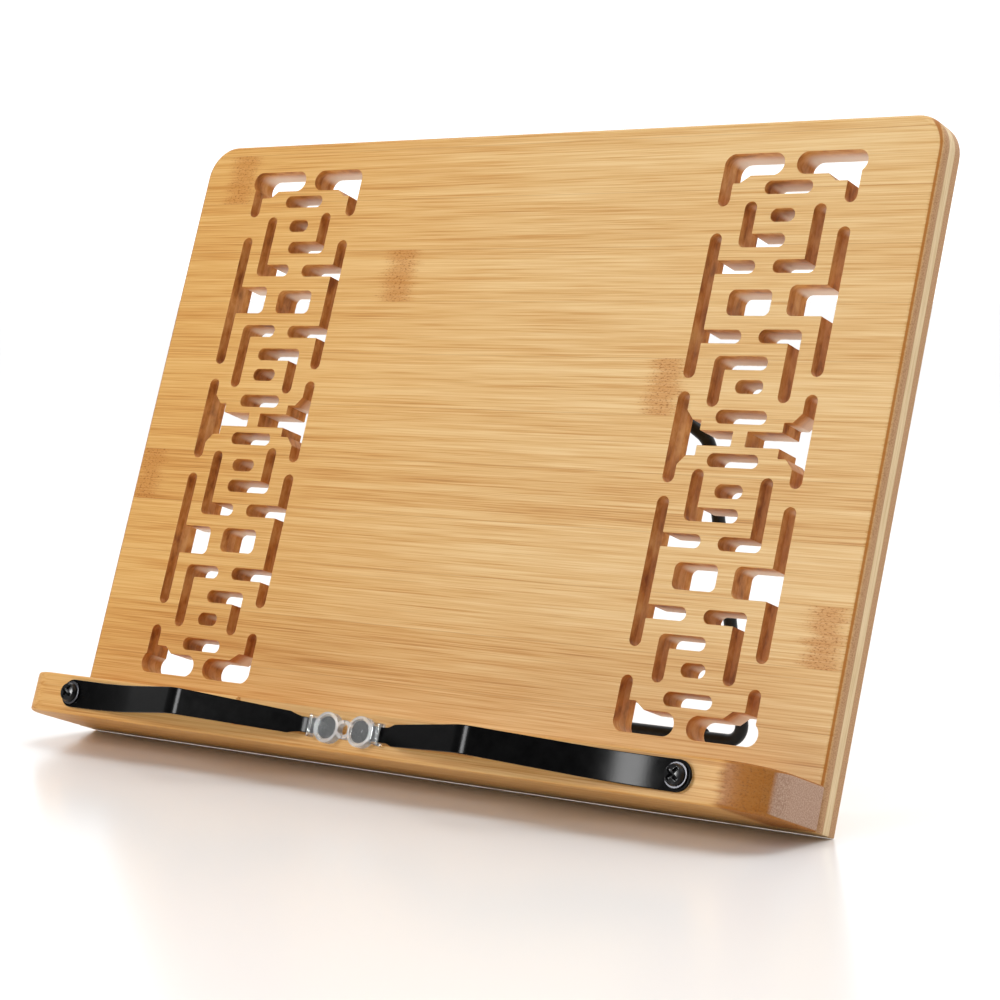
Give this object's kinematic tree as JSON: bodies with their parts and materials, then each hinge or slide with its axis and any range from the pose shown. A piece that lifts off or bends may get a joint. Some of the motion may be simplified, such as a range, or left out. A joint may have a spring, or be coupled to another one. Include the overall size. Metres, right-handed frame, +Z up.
{
  "type": "photo album stand",
  "caption": "Leaning bamboo display stand with a pierced board, a ledge, two swinging spring page clips and a folding wire leg with an adjustable prop.",
  "frame": {"origin": "on the table, under the middle of the whole stand's outline", "axes": "+Z up, +X along the board's width to the right as seen from the front, the board faces -Y"},
  "size_m": [0.34, 0.1802, 0.2297],
  "materials": {
    "bamboo_board": "satin lacquered carbonised bamboo",
    "bamboo_ledge": "satin lacquered carbonised bamboo",
    "dowel_wood": "plain",
    "black_screw": "black oxide",
    "bright_steel": "zinc plated",
    "black_spring": "semi-gloss black",
    "black_steel": "satin black powder coat",
    "prop_steel": "satin black",
    "clear_cap": "clear soft plastic",
    "nylon": "natural nylon",
    "rubber_sleeve": "matte"
  },
  "bodies": {
    "stand": {"board": "bamboo_board", "ledge": "bamboo_ledge", "ledge_screws": "black_screw", "ledge_dowels": "dowel_wood", "clip_spacers": "nylon", "clip_washers": "bright_steel", "clip_screws": "black_screw", "left_saddle": "black_steel", "right_saddle": "black_steel", "saddle_bushes": "nylon", "saddle_screws": "bright_steel", "rack_channel": "black_steel", "rack_screws": "bright_steel"},
    "leg": {"leg_wire": "black_steel", "prop_lugs": "black_steel", "leg_sleeves": "rubber_sleeve"},
    "prop": {"prop_wire": "prop_steel"},
    "left_clip": {"left_clip_blade": "black_spring", "left_clip_cap": "clear_cap"},
    "right_clip": {"right_clip_blade": "black_spring", "right_clip_cap": "clear_cap"}
  },
  "joints": [
    {"name": "leg_swing", "type": "hinge", "parent": "stand", "child": "leg", "pos_m": [0, 0.04602, 0.19817], "axis": [1, 0, 0], "range_deg": [-30.71, 39.29]},
    {"name": "prop_swing", "type": "hinge", "parent": "leg", "child": "prop", "pos_m": [0, 0.05536, 0.15313], "axis": [1, 0, 0], "range_deg": [-78.6, 61.42]},
    {"name": "left_clip_turn", "type": "hinge", "parent": "stand", "child": "left_clip", "pos_m": [-0.1382, -0.06977, 0.02207], "axis": [0, -0.9455, 0.3256], "range_deg": [0, 105]},
    {"name": "right_clip_turn", "type": "hinge", "parent": "stand", "child": "right_clip", "pos_m": [0.1382, -0.06977, 0.02207], "axis": [0, 0.9455, -0.3256], "range_deg": [0, 105]}
  ],
  "couplings": [
    {"joint": "prop_swing", "follows": "leg_swing", "ratio": -2}
  ]
}
